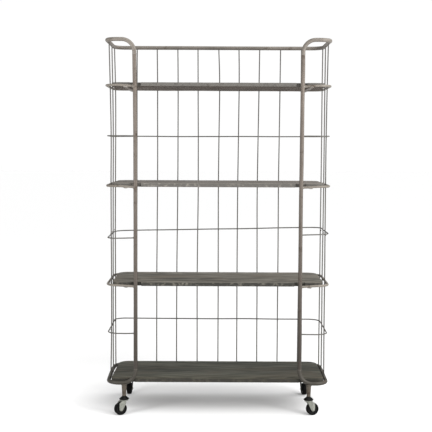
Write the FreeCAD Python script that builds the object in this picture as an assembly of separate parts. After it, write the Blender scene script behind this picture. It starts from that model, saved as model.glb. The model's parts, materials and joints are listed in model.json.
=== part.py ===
"""Rolling display rack: a bent tube frame with a wire back, four boards and four swivel casters.

Lengths are in millimetres and angles in degrees. +Z is up, +X is to the right and the back is at +Y.
The rack is built with the axis line of its two front posts at Y = 0. At the end everything is moved
so that the origin lies on the floor, at the middle of the part's outline.
"""
import FreeCAD
import Part

import math
import os

from FreeCAD import Vector

# Whole rack
rack_height = 1896.0
rack_width = 1132.0
frame_depth = 400.0
post_inset = 153.0
bottom_hoop_height = 162.0
top_shelf_drop = 224.0
shelf_count = 4

# Main tube of the posts and the two hoops
tube_diameter = 20.0
tube_wall = 1.5
post_bend_radius = 66.0
hoop_corner_radius = 60.0
hoop_tail_length = 5.0

# Rods round the three upper shelves
rod_diameter = 12.0
rod_corner_radius = 60.0

# Wires of the back and sides, and the three wire rings halfway between the shelves
wire_diameter = 6.0
back_wire_inset = 114.8
back_wire_count = 9
side_wire_places = (90.0, 212.0, 334.0)
weld_gap = 0.05
wire_ring_lifts = (4.0, -1.5, 0.0)
wire_ring_rises = (-2.5, 23.0, 3.0)
wire_bend_share = 0.35
wire_least_rise = 0.001

# How far each back wire leans sideways, as shares of the wire pitch,
# at the bottom hoop, at the second, third and fourth shelf, and at the top hoop
back_wire_lean_shares = (
    (0.00, 0.00, 0.02, 0.05, 0.07),
    (-0.02, -0.01, 0.03, 0.035, 0.02),
    (-0.03, -0.02, 0.025, 0.035, 0.02),
    (-0.005, -0.01, 0.03, 0.01, 0.00),
    (0.03, 0.03, 0.02, 0.06, 0.01),
    (-0.03, -0.04, -0.03, 0.01, -0.01),
    (-0.03, -0.05, -0.07, -0.02, 0.00),
    (-0.02, -0.02, -0.03, 0.00, 0.01),
    (-0.01, 0.01, 0.02, 0.03, 0.03),
)
# How far the side wires bend inwards between the hoops, as shares of the tube's diameter,
# at each wire ring and shelf ring from the lowest up: the left side from the front, then the right side
side_wire_bend_shares = (
    (
        (0.28, 0.33, 0.30, 0.31, 0.40, 0.23),
        (0.01, 0.06, 0.11, 0.17, 0.26, 0.18),
        (0.00, 0.00, 0.01, 0.09, 0.21, 0.23),
    ),
    (
        (0.11, 0.13, 0.18, 0.23, 0.23, 0.13),
        (0.03, 0.07, 0.03, 0.00, 0.00, 0.02),
        (0.02, 0.00, 0.01, 0.00, 0.00, 0.02),
    ),
)

# Boards
board_thickness = 19.0
board_hoop_gap = 15.0
board_corner_radius = 50.0
board_front_gap = 2.0
board_back_gap = 7.0
board_edge_radius = 1.5
notch_width = 54.0
notch_depth = 15.0
notch_corner_radius = 4.0
bottom_board_rise = 2.0
bottom_board_step_outset = 5.0

# Flat cross straps that carry the boards
strap_width = 22.0
strap_thickness = 5.0
strap_outset = 48.0
strap_let_in = 1.0

# Screws through the straps into the boards
screw_diameter = 4.5
screw_head_rim = 2.25
screw_head_height = 2.5
screw_cover = 6.0
screw_inset = 70.0
screw_gap = 0.05

# Tapered legs
front_left_leg_outset = 60.0
front_right_leg_outset = 51.0
rear_left_leg_outset = 68.0
rear_right_leg_outset = 61.0
leg_bottom_diameter = 20.0
leg_taper = 3.0
leg_wall = 2.0
leg_plug_floor = 3.0
leg_strap_gap = 1.0

# Caster kingpin
kingpin_diameter = 10.0
kingpin_grip_length = 30.0
kingpin_head_rim = 3.5
kingpin_head_height = 3.0
kingpin_seat_gap = 0.05
kingpin_running_gap = 0.08
kingpin_head_gap = 0.3
kingpin_end_gap = 1.0

# Conical swivel cap
cap_overhang = 4.0
cap_crown_gap = 1.5
cap_height = 16.5
cap_rim_height = 1.5
cap_rim_width = 2.0
cap_top_lip = 1.0
cap_race_setback = 1.5

# Balls between the cap and the fork
ball_diameter = 6.0
ball_circle_setback = 6.5
ball_count = 12
ball_gap = 0.1
race_depth = 1.0

# Fork
fork_crown_overhang = 4.2
fork_crown_height = 11.0
fork_crown_wall = 3.0
fork_wheel_gap = 4.0
fork_plate_thickness = 2.5
fork_plate_overlap = 5.0
fork_plate_front = 13.0
fork_shoulder_drop = 5.0
fork_eye_radius = 10.0
fork_trail = 20.0
hub_side_gap = 0.8

# Wheel
wheel_diameter = 63.0
tyre_width = 25.0
tyre_thickness = 9.5
tyre_edge_radius = 5.0
rim_setback = 1.5
rim_thickness = 5.0
hub_stand_out = 1.0
hub_boss_wall = 4.0
hub_web_thickness = 8.0

# Axle rivet and the sleeve that the wheel turns on
rivet_diameter = 8.0
rivet_head_rim = 2.5
rivet_head_height = 3.5
rivet_gap = 0.1
sleeve_wall = 1.9
sleeve_running_gap = 0.08

# Where each caster points at rest: the direction from its swivel axis to its wheel
trail_angles = {
    "front_left": 205.0,
    "front_right": 12.0,
    "rear_left": 268.0,
    "rear_right": 278.0,
}

# Worked out from the sizes above
tube_radius = tube_diameter / 2
rod_radius = rod_diameter / 2
wire_radius = wire_diameter / 2
top_hoop_height = rack_height - tube_radius
outer_x = rack_width / 2
post_x = outer_x - post_inset
hoop_x = outer_x - tube_radius
rod_x = outer_x - rod_radius
rod_back_y = frame_depth + tube_radius - rod_radius
wire_x = outer_x - rod_diameter - wire_radius - weld_gap
wire_back_y = frame_depth + tube_radius - rod_diameter - wire_radius - weld_gap
ring_x = wire_x + wire_diameter + weld_gap
ring_back_y = wire_back_y + wire_diameter + weld_gap
ring_corner_radius = rod_corner_radius - rod_radius + wire_radius
back_wire_pitch = 2 * (hoop_x - back_wire_inset) / (back_wire_count - 1)
shelf_pitch = (top_hoop_height - top_shelf_drop - bottom_hoop_height) / (shelf_count - 1)
shelf_heights = [bottom_hoop_height + shelf_pitch * level for level in range(shelf_count)]
ring_heights = [height + shelf_pitch / 2 + lift for height, lift in zip(shelf_heights, wire_ring_lifts)]
crossing_heights = sorted(ring_heights + shelf_heights[1:])
strap_x = post_x + strap_outset
screw_head_diameter = screw_diameter + 2 * screw_head_rim
screw_grip_in_board = board_thickness - screw_cover
axle_height = wheel_diameter / 2
rim_diameter = wheel_diameter - 2 * tyre_thickness
rim_width = tyre_width - 2 * rim_setback
hub_width = tyre_width + 2 * hub_stand_out
rivet_head_diameter = rivet_diameter + 2 * rivet_head_rim
sleeve_diameter = rivet_diameter + 2 * (rivet_gap + sleeve_wall)
hub_boss_diameter = sleeve_diameter + 2 * hub_boss_wall
fork_inner_y = hub_width / 2 + hub_side_gap
fork_outer_y = fork_inner_y + fork_plate_thickness
fork_crown_diameter = 2 * (fork_outer_y + fork_crown_overhang)
fork_crown_bottom = wheel_diameter + fork_wheel_gap
fork_crown_top = fork_crown_bottom + fork_crown_height
fork_plate_shoulder = fork_crown_bottom - fork_shoulder_drop
ball_circle_diameter = fork_crown_diameter - 2 * ball_circle_setback
cap_base_diameter = fork_crown_diameter + 2 * cap_overhang
cap_race_diameter = fork_crown_diameter - 2 * cap_race_setback
cap_base_height = fork_crown_top + cap_crown_gap
cap_top_diameter = leg_bottom_diameter + 2 * cap_top_lip
leg_bottom_height = cap_base_height + cap_height
leg_top_diameter = leg_bottom_diameter + 2 * leg_taper
leg_plug_length = kingpin_grip_length + kingpin_end_gap + leg_plug_floor
kingpin_head_diameter = kingpin_diameter + 2 * kingpin_head_rim
leg_places = {
    "front_left": Vector(-post_x - front_left_leg_outset, 0, 0),
    "front_right": Vector(post_x + front_right_leg_outset, 0, 0),
    "rear_left": Vector(-post_x - rear_left_leg_outset, frame_depth, 0),
    "rear_right": Vector(post_x + rear_right_leg_outset, frame_depth, 0),
}
up = Vector(0, 0, 1)
forward = Vector(0, 1, 0)
pieces = {}


def polar(centre, radius, angle):
    """A point at the centre's height, at a distance and an angle from it."""
    turn = math.radians(angle)
    return centre + Vector(radius * math.cos(turn), radius * math.sin(turn), 0)


def line(start, end):
    return Part.LineSegment(start, end).toShape()


def arc(start, middle, end):
    return Part.Arc(start, middle, end).toShape()


def swept(edges, radius):
    """A round bar that follows the edges."""
    path = Part.Wire(edges)
    first = edges[0]
    start = first.valueAt(first.FirstParameter)
    heading = first.tangentAt(first.FirstParameter)
    profile = Part.Wire([Part.Circle(start, heading, radius).toShape()])
    return path.makePipeShell([profile], True, False)


def turned(outline, centre):
    """A solid turned about the vertical line through the centre from (radius, height) points."""
    points = [Vector(radius, 0, height) for radius, height in outline]
    edges = [line(a, b) for a, b in zip(points, points[1:] + points[:1])]
    solid = Part.Face(Part.Wire(edges)).revolve(Vector(0, 0, 0), up, math.degrees(2 * math.pi))
    solid.translate(centre)
    return solid


def corner_arc(side, half_width, line_y, radius, front):
    """A quarter turn of a ring in plan, from its front or back line to its side line."""
    towards = 1 if front else -1
    centre = Vector(side * (half_width - radius), line_y + towards * radius, 0)
    on_line = Vector(centre.x, line_y, 0)
    middle_angle = math.degrees(math.atan2(-towards, side))
    on_side = Vector(side * half_width, centre.y, 0)
    return on_line, polar(centre, radius, middle_angle), on_side


def ring_edges(start_x, half_width, back_y, radius):
    """The way of a ring at height 0, from the left post round the back to the right post."""
    left_front = corner_arc(-1, half_width, 0, radius, True)
    left_back = corner_arc(-1, half_width, back_y, radius, False)
    right_back = corner_arc(1, half_width, back_y, radius, False)
    right_front = corner_arc(1, half_width, 0, radius, True)
    return [
        line(Vector(-start_x, 0, 0), left_front[0]),
        arc(*left_front),
        line(left_front[2], left_back[2]),
        arc(left_back[2], left_back[1], left_back[0]),
        line(left_back[0], right_back[0]),
        arc(*right_back),
        line(right_back[2], right_front[2]),
        arc(right_front[2], right_front[1], right_front[0]),
        line(right_front[0], Vector(start_x, 0, 0)),
    ]


def hoop_edges(height, towards):
    """The way of a hoop and of the post bends at its ends. towards is 1 where the posts are above."""
    tail = height + towards * (post_bend_radius + hoop_tail_length)
    bend_start = height + towards * post_bend_radius
    bends = {}
    for side in (-1, 1):
        slant = post_bend_radius * math.sqrt(1 / 2)
        bends[side] = (
            Vector(side * post_x, 0, tail),
            Vector(side * post_x, 0, bend_start),
            Vector(side * (post_x + post_bend_radius - slant), 0, bend_start - towards * slant),
            Vector(side * (post_x + post_bend_radius), 0, height),
        )
    flat = ring_edges(post_x + post_bend_radius, hoop_x, frame_depth, hoop_corner_radius)
    for edge in flat:
        edge.translate(Vector(0, 0, height))
    left, right = bends[-1], bends[1]
    edges = [line(left[0], left[1]), arc(left[1], left[2], left[3])]
    edges += flat
    edges += [arc(right[3], right[2], right[1]), line(right[1], right[0])]
    return edges


def hoop(height, towards):
    """A bent tube hoop, and the solid bar of the same outside that other pieces are coped to."""
    edges = hoop_edges(height, towards)
    bar = swept(edges, tube_radius)
    bore = swept(edges, tube_radius - tube_wall)
    return bar.cut(bore), bar


def post(side):
    """A straight post tube between the tails of the two hoops, and its solid bar."""
    bottom = bottom_hoop_height + post_bend_radius + hoop_tail_length
    top = top_hoop_height - post_bend_radius - hoop_tail_length
    foot = Vector(side * post_x, 0, bottom)
    bar = Part.makeCylinder(tube_radius, top - bottom, foot)
    bore = Part.makeCylinder(tube_radius - tube_wall, top - bottom, foot)
    return bar.cut(bore), bar


def shelf_ring(height, post_bars):
    """A rod round one shelf, coped to both posts."""
    ring = swept(ring_edges(post_x, rod_x, rod_back_y, rod_corner_radius), rod_radius)
    ring.translate(Vector(0, 0, height))
    return ring.cut(post_bars)


def wire_ring(height, rise, post_bars):
    """A thin wire ring coped to both posts. rise is how much higher its right side stands."""
    ring = swept(ring_edges(post_x, ring_x, ring_back_y, ring_corner_radius), wire_radius)
    ring.rotate(Vector(0, 0, 0), forward, -math.degrees(math.atan2(rise, rack_width)))
    ring.translate(Vector(0, 0, height))
    return ring.cut(post_bars)


def bent_wire(points, hoop_bars):
    """A wire of straight runs and wide bends through the points, from hoop to hoop and coped to both."""
    edges = []
    start = points[0]
    for before, corner, after in zip(points, points[1:], points[2:]):
        heading_in = (corner - before).normalize()
        heading_out = (after - corner).normalize()
        reach = wire_bend_share * min((corner - before).Length, (after - corner).Length)
        rise = reach * math.tan(heading_in.getAngle(heading_out) / 4)
        if rise < wire_least_rise:
            continue
        bend_start = corner - heading_in * reach
        bend_end = corner + heading_out * reach
        edges.append(line(start, bend_start))
        edges.append(arc(bend_start, corner + (heading_out - heading_in).normalize() * rise, bend_end))
        start = bend_end
    edges.append(line(start, points[-1]))
    return swept(edges, wire_radius).cut(hoop_bars)


def back_wires(hoop_bars):
    heights = shelf_heights + [top_hoop_height]
    wires = []
    for number, leans in enumerate(back_wire_lean_shares):
        middle = (number - (back_wire_count - 1) / 2) * back_wire_pitch
        points = []
        for height, lean in zip(heights, leans):
            points.append(Vector(middle + lean * back_wire_pitch, wire_back_y, height))
        wires.append(bent_wire(points, hoop_bars))
    return Part.makeCompound(wires)


def side_wires(side, bends, hoop_bars):
    """The three wires on one side. Their ends are welded to the undersides of the hoops."""
    wires = []
    for place_y, inward_shares in zip(side_wire_places, bends):
        points = [Vector(side * wire_x, place_y, bottom_hoop_height)]
        for height, inward in zip(crossing_heights, inward_shares):
            points.append(Vector(side * (wire_x - inward * tube_diameter), place_y, height))
        points.append(Vector(side * wire_x, place_y, top_hoop_height))
        wires.append(bent_wire(points, hoop_bars))
    return Part.makeCompound(wires)


def plan_line(points):
    return [line(a, b) for a, b in zip(points, points[1:])]


def board(bottom, side_front_y, notched):
    """A board with round corners. It is notched round each post or, where it isn't, steps behind the hoop."""
    half_width = hoop_x - tube_radius - board_hoop_gap
    middle_front_y = rod_radius + board_front_gap
    back_y = wire_back_y - wire_radius - board_back_gap
    notch_back_y = middle_front_y + notch_depth
    inner_x = post_x - notch_width / 2 if notched else post_x + bottom_board_step_outset
    outer_notch_x = post_x + notch_width / 2
    edges = []
    for side in (-1, 1):
        front = corner_arc(side, half_width, side_front_y, board_corner_radius, True)
        back = corner_arc(side, half_width, back_y, board_corner_radius, False)
        front_end = [Vector(side * inner_x, middle_front_y, 0)]
        if notched:
            front_end.append(Vector(side * inner_x, notch_back_y, 0))
            front_end.append(Vector(side * outer_notch_x, notch_back_y, 0))
            front_end.append(Vector(side * outer_notch_x, side_front_y, 0))
        else:
            front_end.append(Vector(side * inner_x, side_front_y, 0))
        edges += plan_line(front_end + [front[0]])
        edges += [arc(*front), line(front[2], back[2]), arc(*back)]
    edges.append(line(Vector(-inner_x, middle_front_y, 0), Vector(inner_x, middle_front_y, 0)))
    edges.append(line(Vector(board_corner_radius - half_width, back_y, 0),
                      Vector(half_width - board_corner_radius, back_y, 0)))
    outline = Part.Wire(Part.sortEdges(edges)[0])
    slab = Part.Face(outline).extrude(Vector(0, 0, board_thickness))
    notch_edges = []
    rim_edges = []
    for edge in slab.Edges:
        box = edge.BoundBox
        upright = box.ZLength > board_thickness / 2
        if upright and abs(edge.CenterOfMass.y - notch_back_y) < weld_gap:
            notch_edges.append(edge)
    if notched:
        slab = slab.makeFillet(notch_corner_radius, notch_edges)
    for edge in slab.Edges:
        if edge.BoundBox.ZLength < weld_gap:
            rim_edges.append(edge)
    slab = slab.makeFillet(board_edge_radius, rim_edges)
    slab.translate(Vector(0, 0, bottom))
    return slab


def screw_places(bottom):
    """Where the screws' heads sit under the straps of one board."""
    places = []
    for side in (-1, 1):
        for place_y in (screw_inset, frame_depth - screw_inset):
            places.append(Vector(side * strap_x, place_y, bottom - strap_thickness))
    return places


def straps(board_bottom, bars):
    """The two flat straps under one board, coped to the front and back of the ring or hoop."""
    front_y = -rod_radius + strap_let_in
    back_y = rod_back_y + rod_radius - strap_let_in
    pair = []
    for side in (-1, 1):
        low = Vector(side * strap_x - strap_width / 2, front_y, board_bottom - strap_thickness)
        pair.append(Part.makeBox(strap_width, back_y - front_y, strap_thickness, low))
    holes = []
    for place in screw_places(board_bottom):
        holes.append(Part.makeCylinder(screw_diameter / 2 + screw_gap, strap_thickness, place))
    cut = Part.makeCompound(pair).cut(bars).cut(Part.makeCompound(holes))
    middle = [solid for solid in cut.Solids if solid.BoundBox.YLength > frame_depth / 2]
    return Part.makeCompound(middle)


def screws(board_bottom):
    length = strap_thickness + screw_grip_in_board
    group = []
    for place in screw_places(board_bottom):
        shank = Part.makeCylinder(screw_diameter / 2, length, place)
        head_foot = place - Vector(0, 0, screw_head_height)
        head = Part.makeCylinder(screw_head_diameter / 2, screw_head_height, head_foot)
        rim = [edge for edge in head.Edges if edge.CenterOfMass.z < head_foot.z + weld_gap]
        group.append(head.makeFillet(screw_head_height / 2, rim[:1]).fuse(shank).removeSplitter())
    return group


def screw_bores(board_bottom):
    bores = []
    for place in screw_places(board_bottom):
        foot = place + Vector(0, 0, strap_thickness)
        bores.append(Part.makeCylinder(screw_diameter / 2 + screw_gap, screw_grip_in_board + screw_gap, foot))
    return Part.makeCompound(bores)


def leg(place, hoop_bars):
    """A tapered tube with a plug in its foot for the kingpin, coped to the bottom hoop."""
    top = bottom_hoop_height + bottom_board_rise - strap_thickness - leg_strap_gap
    length = top - leg_bottom_height
    foot = place + Vector(0, 0, leg_bottom_height)
    outside = Part.makeCone(leg_bottom_diameter / 2, leg_top_diameter / 2, length, foot)
    inside = Part.makeCone(leg_bottom_diameter / 2 - leg_wall, leg_top_diameter / 2 - leg_wall, length, foot)
    plug = Part.makeCylinder(leg_top_diameter, leg_plug_length, foot)
    bore_length = kingpin_grip_length + kingpin_end_gap
    bore = Part.makeCylinder(kingpin_diameter / 2 + kingpin_seat_gap, bore_length, foot)
    shell = outside.cut(inside.cut(plug)).cut(bore).cut(hoop_bars)
    return max(shell.Solids, key=lambda solid: solid.Volume)


def kingpin(place):
    """The pin that holds the fork: its head is under the fork's crown, its grip is in the leg's plug."""
    head_top = fork_crown_top - fork_crown_wall - kingpin_head_gap
    pin = Part.makeCylinder(kingpin_diameter / 2, leg_bottom_height + kingpin_grip_length - head_top,
                            place + Vector(0, 0, head_top))
    head = Part.makeCylinder(kingpin_head_diameter / 2, kingpin_head_height,
                             place + Vector(0, 0, head_top - kingpin_head_height))
    return pin.fuse(head).removeSplitter()


def ball_height():
    return fork_crown_top - race_depth + ball_gap + ball_diameter / 2


def race_groove(place, height):
    """The ring-shaped groove that the balls run in."""
    groove = Part.makeTorus(ball_circle_diameter / 2, ball_diameter / 2 + ball_gap)
    groove.translate(place + Vector(0, 0, height))
    return groove


def swivel_cap(place):
    """The conical cap over the ball race."""
    bore = kingpin_diameter / 2 + kingpin_seat_gap
    race_height = ball_height() + ball_diameter / 2 + ball_gap - race_depth
    rim = cap_base_diameter / 2
    outline = [
        (bore, race_height),
        (cap_race_diameter / 2, race_height),
        (rim - cap_rim_width, cap_base_height),
        (rim, cap_base_height),
        (rim, cap_base_height + cap_rim_height),
        (cap_top_diameter / 2, leg_bottom_height),
        (bore, leg_bottom_height),
    ]
    return turned(outline, place).cut(race_groove(place, ball_height()))


def balls(place):
    group = []
    for number in range(ball_count):
        ball = Part.makeSphere(ball_diameter / 2)
        angle = math.degrees(2 * math.pi) * number / ball_count
        ball.translate(polar(place + Vector(0, 0, ball_height()), ball_circle_diameter / 2, angle))
        group.append(ball)
    return Part.makeCompound(group)


def plate_outline():
    """The outline of a fork plate, seen from the side: x runs towards the wheel, y is the height."""
    eye = Vector(fork_trail, 0, axle_height)
    shoulder = Vector(-fork_plate_front, 0, fork_plate_shoulder)
    reach = eye - shoulder
    slope = math.atan2(reach.z, reach.x) - math.asin(fork_eye_radius / reach.Length)
    tangent_length = math.sqrt(reach.Length ** 2 - fork_eye_radius ** 2)
    touch = shoulder + Vector(math.cos(slope), 0, math.sin(slope)) * tangent_length
    top = fork_crown_bottom + fork_plate_overlap
    back_x = fork_trail + fork_eye_radius
    back_top = math.sqrt((fork_crown_diameter / 2) ** 2 - fork_inner_y ** 2)
    return [
        line(Vector(-fork_plate_front, 0, top), shoulder),
        line(shoulder, touch),
        arc(touch, eye + Vector(0, 0, -fork_eye_radius), eye + Vector(fork_eye_radius, 0, 0)),
        line(Vector(back_x, 0, axle_height), Vector(back_x, 0, fork_plate_shoulder)),
        line(Vector(back_x, 0, fork_plate_shoulder), Vector(back_top, 0, top)),
        line(Vector(back_top, 0, top), Vector(-fork_plate_front, 0, top)),
    ]


def pointed(shape, place, angle):
    """Turns a caster piece built towards +X about the swivel axis, and moves it to its leg."""
    shape.rotate(Vector(0, 0, 0), up, angle)
    shape.translate(place)
    return shape


def axle_bar(radius, half_length):
    """A bar on the wheel's axis, as long to one side as to the other."""
    start = Vector(fork_trail, -half_length, axle_height)
    return Part.makeCylinder(radius, 2 * half_length, start, forward)


def fork():
    """The pressed crown and its two side plates."""
    floor = Vector(0, 0, fork_crown_bottom)
    crown = Part.makeCylinder(fork_crown_diameter / 2, fork_crown_height, floor)
    top_edge = [edge for edge in crown.Edges if edge.CenterOfMass.z > fork_crown_top - weld_gap]
    crown = crown.makeFillet(fork_crown_wall / 2, top_edge[:1])
    pocket_height = fork_crown_height - fork_crown_wall
    pocket = Part.makeCylinder(fork_crown_diameter / 2 - fork_crown_wall, pocket_height, floor)
    plates = []
    for start in (fork_inner_y, -fork_outer_y):
        face = Part.Face(Part.Wire(plate_outline()))
        plate = face.extrude(Vector(0, fork_plate_thickness, 0))
        plate.translate(Vector(0, start, 0))
        plates.append(plate)
    body = crown.cut(pocket).fuse(plates).removeSplitter()
    body = body.cut(axle_bar(rivet_diameter / 2 + rivet_gap, fork_outer_y + fork_plate_thickness))
    body = body.cut(Part.makeCylinder(kingpin_diameter / 2 + kingpin_running_gap, fork_crown_height, floor))
    return body.cut(race_groove(Vector(0, 0, 0), ball_height()))


def axle_rivet():
    rivet = axle_bar(rivet_diameter / 2, fork_outer_y)
    for direction in (-1, 1):
        start = Vector(fork_trail, direction * fork_outer_y, axle_height)
        head = Part.makeCylinder(rivet_head_diameter / 2, rivet_head_height, start, forward * direction)
        far = fork_outer_y + rivet_head_height
        rim = [edge for edge in head.Edges if abs(edge.CenterOfMass.y) > far - weld_gap]
        rivet = rivet.fuse(head.makeFillet(rivet_head_height * 2 / 3, rim[:1]))
    return rivet.removeSplitter()


def axle_sleeve():
    sleeve = axle_bar(sleeve_diameter / 2, fork_inner_y)
    return sleeve.cut(axle_bar(rivet_diameter / 2 + rivet_gap, fork_inner_y))


def wheel_hub():
    """The wheel's core: rim, web and boss."""
    rim = axle_bar(rim_diameter / 2, rim_width / 2)
    recess = axle_bar(rim_diameter / 2 - rim_thickness, rim_width / 2)
    web = axle_bar(rim_diameter / 2 - rim_thickness, hub_web_thickness / 2)
    boss = axle_bar(hub_boss_diameter / 2, hub_width / 2)
    bore = axle_bar(sleeve_diameter / 2 + sleeve_running_gap, hub_width / 2)
    return rim.cut(recess).fuse([web, boss]).cut(bore).removeSplitter()


def tyre():
    outside = axle_bar(wheel_diameter / 2, tyre_width / 2)
    rims = []
    for edge in outside.Edges:
        if edge.BoundBox.YLength < weld_gap:
            rims.append(edge)
    return outside.makeFillet(tyre_edge_radius, rims).cut(axle_bar(rim_diameter / 2, tyre_width / 2))


def wheel_reach(name, direction):
    """How far a wheel reaches to the front (-1) or back (1) of the rack's front post line."""
    turn = math.radians(trail_angles[name])
    along = abs(math.sin(turn))
    across = abs(math.cos(turn))
    centre = leg_places[name].y + fork_trail * math.sin(turn)
    round_part = (wheel_diameter / 2 - tyre_edge_radius) * along
    flat_part = (tyre_width / 2 - tyre_edge_radius) * across
    return centre + direction * (round_part + flat_part + tyre_edge_radius)


def build_frame():
    """The hoops, posts, rods, wires, straps, boards and screws."""
    pieces["top_hoop"], top_bar = hoop(top_hoop_height, -1)
    pieces["bottom_hoop"], bottom_bar = hoop(bottom_hoop_height, 1)
    pieces["post_left"], left_bar = post(-1)
    pieces["post_right"], right_bar = post(1)
    post_bars = Part.makeCompound([left_bar, right_bar])
    hoop_bars = Part.makeCompound([top_bar, bottom_bar])
    for number, (height, rise) in enumerate(zip(ring_heights, wire_ring_rises), 1):
        pieces["wire_ring_%d" % number] = wire_ring(height, rise, post_bars)
    pieces["back_wires"] = back_wires(hoop_bars)
    pieces["side_wires_left"] = side_wires(-1, side_wire_bend_shares[0], hoop_bars)
    pieces["side_wires_right"] = side_wires(1, side_wire_bend_shares[1], hoop_bars)
    all_screws = []
    for number, height in enumerate(shelf_heights, 1):
        if number == 1:
            carrier = bottom_bar
            board_bottom = height + bottom_board_rise
            side_front_y = tube_radius + board_front_gap
        else:
            carrier = shelf_ring(height, post_bars)
            pieces["shelf_ring_%d" % number] = carrier
            board_bottom = height - rod_radius + strap_let_in
            side_front_y = rod_radius + board_front_gap
        pieces["straps_%d" % number] = straps(board_bottom, carrier)
        slab = board(board_bottom, side_front_y, number > 1)
        pieces["board_%d" % number] = slab.cut(screw_bores(board_bottom))
        all_screws += screws(board_bottom)
    pieces["board_screws"] = Part.makeCompound(all_screws)
    for name, place in leg_places.items():
        pieces["leg_" + name] = leg(place, hoop_bars)


def build_casters():
    for name, place in leg_places.items():
        pieces["kingpin_" + name] = kingpin(place)
        pieces["swivel_cap_" + name] = swivel_cap(place)
        pieces["swivel_balls_" + name] = balls(place)
        for title, shape in (("fork", fork()), ("axle_rivet", axle_rivet()), ("axle_sleeve", axle_sleeve()),
                             ("wheel_hub", wheel_hub()), ("tyre", tyre())):
            pieces[title + "_" + name] = pointed(shape, place, trail_angles[name])


def middle_of_depth():
    """Halfway between the foremost and the rearmost point of the part."""
    cap_radius = cap_base_diameter / 2
    front = min([-cap_radius] + [wheel_reach(name, -1) for name in leg_places])
    back = max([frame_depth + cap_radius] + [wheel_reach(name, 1) for name in leg_places])
    return (front + back) / 2


build_frame()
build_casters()
centring = Vector(0, -middle_of_depth(), 0)
os.makedirs("parts", exist_ok=True)
for name, shape in pieces.items():
    shape.translate(centring)
    shape.exportStep("parts/%s.step" % name)
print("moved back by", round(-centring.y, 3))
for name, place in leg_places.items():
    wheel = polar(place, fork_trail, trail_angles[name])
    print(name, "swivel axis at", place + centring, "wheel axis at", wheel + centring)
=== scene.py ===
"""The looks of a rolling display rack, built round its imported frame.

Lengths are in metres. +Z is up, +X is to the right seen from the open front, and the back is at +Y.
"""

import json
import math

import bmesh
import bpy
from mathutils import Matrix, Vector, noise


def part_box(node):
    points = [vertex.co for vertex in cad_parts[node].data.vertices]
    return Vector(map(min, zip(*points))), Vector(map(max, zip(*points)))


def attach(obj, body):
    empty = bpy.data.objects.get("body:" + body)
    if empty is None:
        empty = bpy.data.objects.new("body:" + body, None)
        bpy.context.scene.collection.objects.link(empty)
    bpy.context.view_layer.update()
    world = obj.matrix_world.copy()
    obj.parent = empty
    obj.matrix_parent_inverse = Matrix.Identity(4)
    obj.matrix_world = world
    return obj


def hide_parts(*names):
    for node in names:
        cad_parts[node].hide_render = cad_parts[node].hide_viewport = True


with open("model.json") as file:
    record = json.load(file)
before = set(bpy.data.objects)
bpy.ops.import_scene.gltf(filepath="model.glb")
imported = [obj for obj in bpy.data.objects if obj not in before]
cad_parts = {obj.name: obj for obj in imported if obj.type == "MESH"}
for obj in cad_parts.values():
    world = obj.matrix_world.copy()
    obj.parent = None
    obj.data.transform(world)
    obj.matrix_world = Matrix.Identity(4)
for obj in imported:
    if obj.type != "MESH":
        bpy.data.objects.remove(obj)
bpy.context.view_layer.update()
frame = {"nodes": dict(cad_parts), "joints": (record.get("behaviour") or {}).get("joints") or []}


# Camera. It stands in front of the rack, a little above its middle, and looks slightly down.
# The picture hangs a quarter of a degree down to the right.
picture_pixels = 432
focal_pixels = 915.09
sensor_width = 36.0
camera_place = (-0.0102, -4.7589, 1.3788)
camera_tilt = math.radians(90 - 4.579)
camera_roll = math.radians(0.245)


def placed(name, data):
    """A new object in the scene."""
    made = bpy.data.objects.new(name, data)
    bpy.context.scene.collection.objects.link(made)
    return made


camera_data = bpy.data.cameras.new("camera")
camera_data.sensor_width = sensor_width
camera_data.lens = focal_pixels / picture_pixels * sensor_width
camera = placed("camera", camera_data)
camera.rotation_mode = "ZYX"
camera.location = camera_place
camera.rotation_euler = (camera_tilt, 0, camera_roll)
bpy.context.scene.camera = camera
bpy.context.scene.view_settings.view_transform = "Standard"


# Floor. A plain studio floor that runs to the horizon and takes the rack's soft shadow. It glows a little,
# a painted fill light that lifts the shadow, and it is painted a little whiter under and round the rack
# than farther away, a painted pool of light.
floor_reach = 40.0
floor_painted_pool_white = (0.665, 0.665, 0.665, 1)
floor_grey = (0.592, 0.592, 0.592, 1)
floor_roughness = 0.9
floor_painted_fill_glow = 0.135
sheet_stretch = (0.55, 1.0, 0.0)
sheet_edge = (0.62, 1.10)
white = (1, 1, 1, 1)


def set_inputs(node, inputs):
    """Links each named input of a node to a socket, or sets it to a value."""
    for key, value in inputs.items():
        if isinstance(value, bpy.types.NodeSocket):
            node.id_data.links.new(value, node.inputs[key])
        else:
            node.inputs[key].default_value = value


def add_node(tree, kind, inputs=None, **settings):
    """A new shader node with its settings and inputs."""
    node = tree.nodes.new("ShaderNode" + kind)
    for name, value in settings.items():
        setattr(node, name, value)
    set_inputs(node, inputs or {})
    return node


def stretched(vector, scale):
    """The vector times a scale along each axis."""
    node = add_node(vector.id_data, "VectorMath", {0: vector, 1: scale}, operation="MULTIPLY")
    return node.outputs["Vector"]


def mix_colors(share, first, second, blend="MIX"):
    """A colour mix of two sockets or colours by a share. Gives its result socket."""
    return add_node(share.id_data, "Mix", {0: share, 6: first, 7: second}, data_type="RGBA",
                    blend_type=blend).outputs[2]


def plain_material(name, color):
    """A material with one Principled shader. Gives both."""
    material = bpy.data.materials.new(name)
    material.use_nodes = True
    shader = material.node_tree.nodes["Principled BSDF"]
    shader.inputs["Base Color"].default_value = color
    return material, shader


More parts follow.
